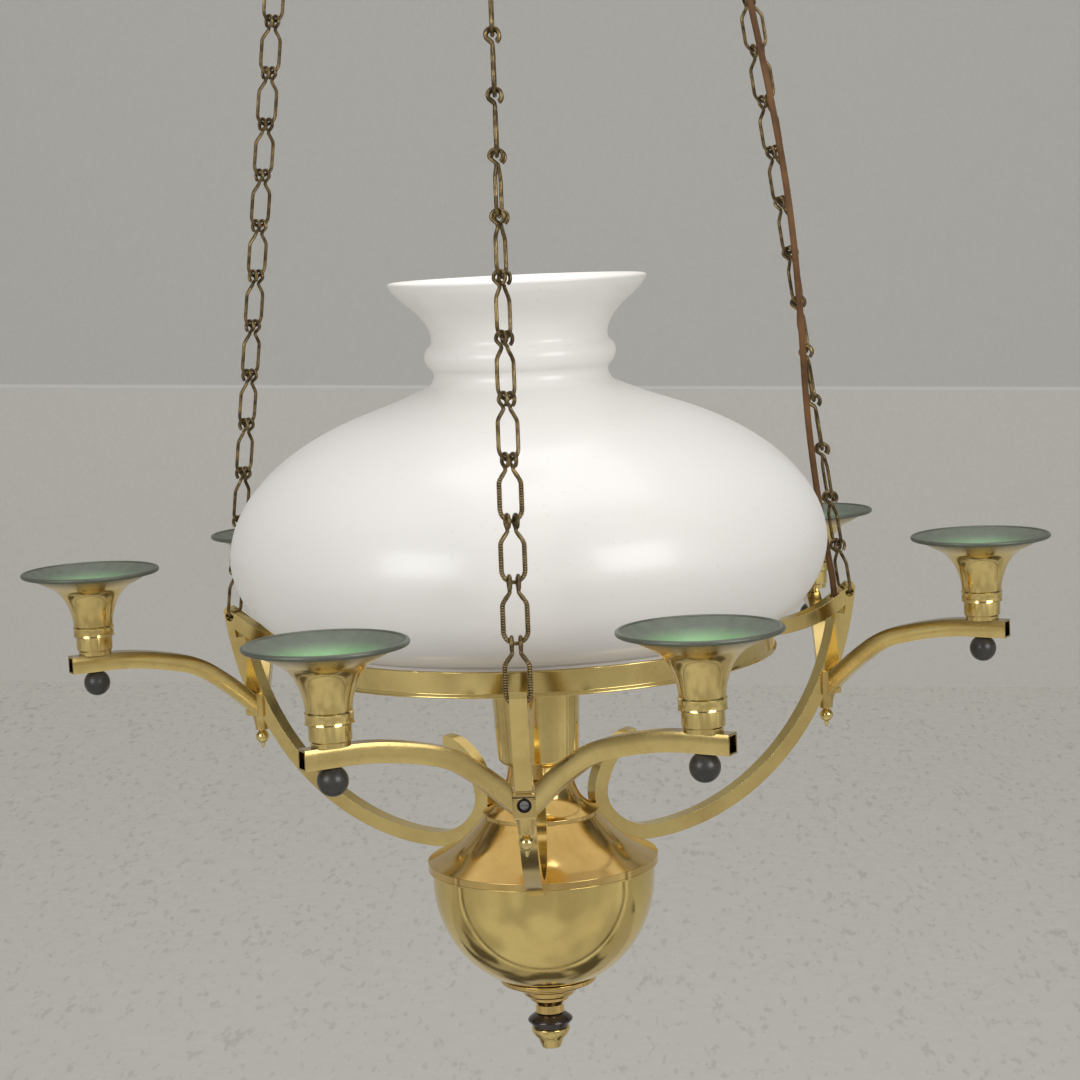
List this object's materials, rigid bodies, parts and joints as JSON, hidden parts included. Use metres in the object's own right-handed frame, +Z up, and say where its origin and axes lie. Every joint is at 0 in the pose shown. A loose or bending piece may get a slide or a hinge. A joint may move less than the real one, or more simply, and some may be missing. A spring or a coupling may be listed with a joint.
{
  "type": "ceiling lamp",
  "caption": "Brass ceiling lamp hung on chains: opal glass shade on a ring, scroll arms with flared candle cups, spun bowl and turned finial below, bell-shaped crown above.",
  "frame": {"origin": "middle of the ceiling strap's top face, on the ceiling and on the lamp's axis", "axes": "+Z up towards the ceiling, -Y towards the front scroll arm, X along the ceiling strap"},
  "size_m": [0.7052, 0.6233, 1.5396],
  "materials": {
    "polished_brass": "polished and lacquered",
    "chain_brass": "drawn wire",
    "opal_glass": "glossy opal white",
    "bulb_glass": "frosted",
    "black_lacquer": "gloss",
    "steel": "plain",
    "porcelain": "glazed",
    "dark_plastic": "moulded",
    "lead_sheath": "smooth sheath"
  },
  "bodies": {
    "ceiling": {"ceiling_strap": "steel", "canopy": "polished_brass", "canopy_bushing": "dark_plastic", "canopy_collar": "polished_brass", "canopy_lead": "lead_sheath", "ceiling_hook": "polished_brass", "hook_nut": "steel", "terminal_block": "dark_plastic"},
    "swing_ring": {"suspension_ring": "polished_brass"},
    "shade": {"glass_shade": "opal_glass"},
    "bulb": {"bulb_cap": "steel", "bulb_glass": "bulb_glass"},
    "lamp": {"arm_block_front": "polished_brass", "arm_block_left": "polished_brass", "arm_block_right": "polished_brass", "ball_nuts": "black_lacquer", "block_finials": "polished_brass", "block_screws": "steel", "bowl": "polished_brass", "bowl_base": "polished_brass", "bracket_front": "polished_brass", "bracket_left": "polished_brass", "bracket_right": "polished_brass", "candle_arm_front_left": "polished_brass", "candle_arm_front_right": "polished_brass", "candle_arm_left_back": "polished_brass", "candle_arm_left_front": "polished_brass", "candle_arm_right_back": "polished_brass", "candle_arm_right_front": "polished_brass", "candle_cup_front_left": "polished_brass", "candle_cup_front_right": "polished_brass", "candle_cup_left_back": "polished_brass", "candle_cup_left_front": "polished_brass", "candle_cup_right_back": "polished_brass", "candle_cup_right_front": "polished_brass", "chain_front": "chain_brass", "chain_left": "chain_brass", "chain_right": "chain_brass", "crown_bell": "polished_brass", "crown_eye_nuts": "steel", "crown_eyes": "polished_brass", "crown_loop": "polished_brass", "crown_nut": "polished_brass", "crown_plate": "polished_brass", "cup_studs": "steel", "finial_ring": "black_lacquer", "finial_tip": "polished_brass", "inner_lead": "lead_sheath", "lamp_holder": "porcelain", "lower_shoulder": "polished_brass", "ring_screws": "steel", "scroll_arm_front": "polished_brass", "scroll_arm_left": "polished_brass", "scroll_arm_right": "polished_brass", "shade_ring": "polished_brass", "socket_cup": "polished_brass", "supply_lead": "lead_sheath", "tie_rod": "steel", "upper_shoulder": "polished_brass"}
  },
  "joints": [
    {"name": "swing_x", "type": "hinge", "parent": "ceiling", "child": "swing_ring", "pos_m": [0, 0, -0.086], "axis": [1, 0, 0], "range_deg": [-12, 12], "deforming": ["canopy_lead"]},
    {"name": "swing_y", "type": "hinge", "parent": "swing_ring", "child": "lamp", "pos_m": [0, 0, -0.1092], "axis": [0, 1, 0], "range_deg": [-12, 12], "deforming": ["supply_lead"]},
    {"name": "shade_lift", "type": "slide", "parent": "lamp", "child": "shade", "axis": [0, 0, 1], "range_m": [0, 0.06]},
    {"name": "bulb_lift", "type": "slide", "parent": "lamp", "child": "bulb", "axis": [0, 0, 1], "range_m": [0, 0.03]}
  ]
}
